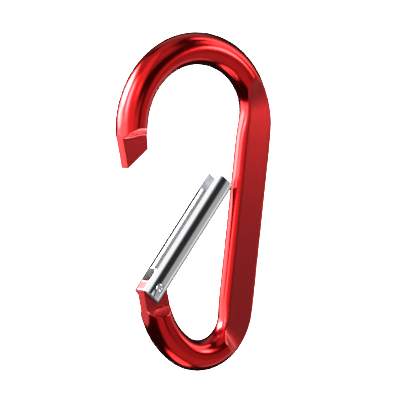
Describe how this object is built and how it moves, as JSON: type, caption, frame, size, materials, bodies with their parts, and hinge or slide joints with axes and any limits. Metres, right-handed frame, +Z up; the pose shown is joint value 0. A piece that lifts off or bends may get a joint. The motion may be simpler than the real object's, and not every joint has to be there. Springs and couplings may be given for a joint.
{
  "type": "snap carabiner",
  "caption": "D-shaped snap carabiner: round anodised bar with a flattened spine, and a sprung solid-rod gate with forked ends on a riveted hinge.",
  "frame": {"origin": "load seat: the highest point of the inside of the top bend, on the mid-plane", "axes": "+Z up along the D from the hinge end to the top bend, +X across it from the gate to the spine, +Y through its thickness towards the back"},
  "size_m": [0.0447, 0.0078, 0.0803],
  "materials": {
    "anodised_bar": "gloss red anodised, satin on the flats",
    "polished_gate": "polished, with fine lengthwise drawing marks",
    "rivet_steel": "formed head with a turned dimple",
    "spring_steel": "drawn wire",
    "plunger_brass": "turned"
  },
  "bodies": {
    "frame": {"hook_frame": "anodised_bar"},
    "gate": {"gate_rod": "polished_gate", "hinge_rivet": "rivet_steel", "gate_spring": "spring_steel"},
    "plunger": {"spring_plunger": "plunger_brass"}
  },
  "joints": [
    {"name": "gate_hinge", "type": "hinge", "parent": "frame", "child": "gate", "pos_m": [-0.01269, 0, -0.05174], "axis": [0, 1, 0], "range_deg": [-48.5, 2], "stiffness_Nm_per_rad": 0.05, "springref_deg": -83.08},
    {"name": "plunger_slide", "type": "slide", "parent": "gate", "child": "plunger", "axis": [0.6334, 0, 0.7738], "range_m": [-0.00086, 0.00005], "deforming": ["gate_spring"]}
  ],
  "couplings": [
    {"joint": "plunger_slide", "follows": "gate_hinge", "m_per_rad": 0.001}
  ]
}
